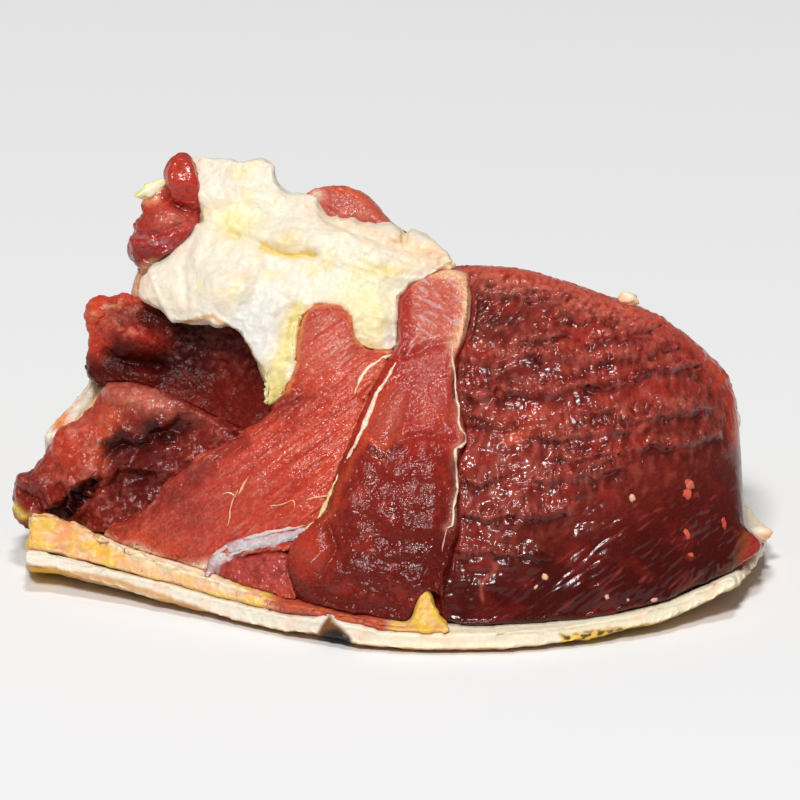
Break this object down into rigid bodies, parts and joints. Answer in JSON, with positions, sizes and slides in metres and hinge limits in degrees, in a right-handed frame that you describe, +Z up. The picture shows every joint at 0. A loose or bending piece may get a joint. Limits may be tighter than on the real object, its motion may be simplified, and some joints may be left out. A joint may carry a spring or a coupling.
{
  "type": "skin-on beef leg meat",
  "caption": "Raw chunk of beef leg lying on its thick hide: a leaning cut face of dark and pale muscles, white fat over the upper left and yellow fat above the hide.",
  "frame": {"origin": "middle of the box round the part, at the underside that it lies on", "axes": "+X to the right along the cut face, +Y away from the side that shows the cut face, +Z up"},
  "size_m": [0.2582, 0.1501, 0.1337],
  "materials": {
    "hide": "scalded skin, tan and singed outside, white and wet at its cut edge",
    "yellow_fat": "soft wet yellow fat",
    "white_fat": "soft wet cream-white fat",
    "dark_muscle": "wet dark red meat",
    "red_muscle": "wet red meat",
    "pale_muscle": "wet pale red meat"
  },
  "bodies": {
    "root": {"hide": "hide", "yellow_fat": "yellow_fat", "centre_muscle": "red_muscle", "small_muscle": "red_muscle", "fan_muscle": "pale_muscle", "fat_cap": "white_fat", "lobes": "red_muscle", "back_muscle": "pale_muscle", "side_muscle": "red_muscle", "round_muscle": "dark_muscle", "hollow_muscle": "dark_muscle"}
  },
  "joints": []
}
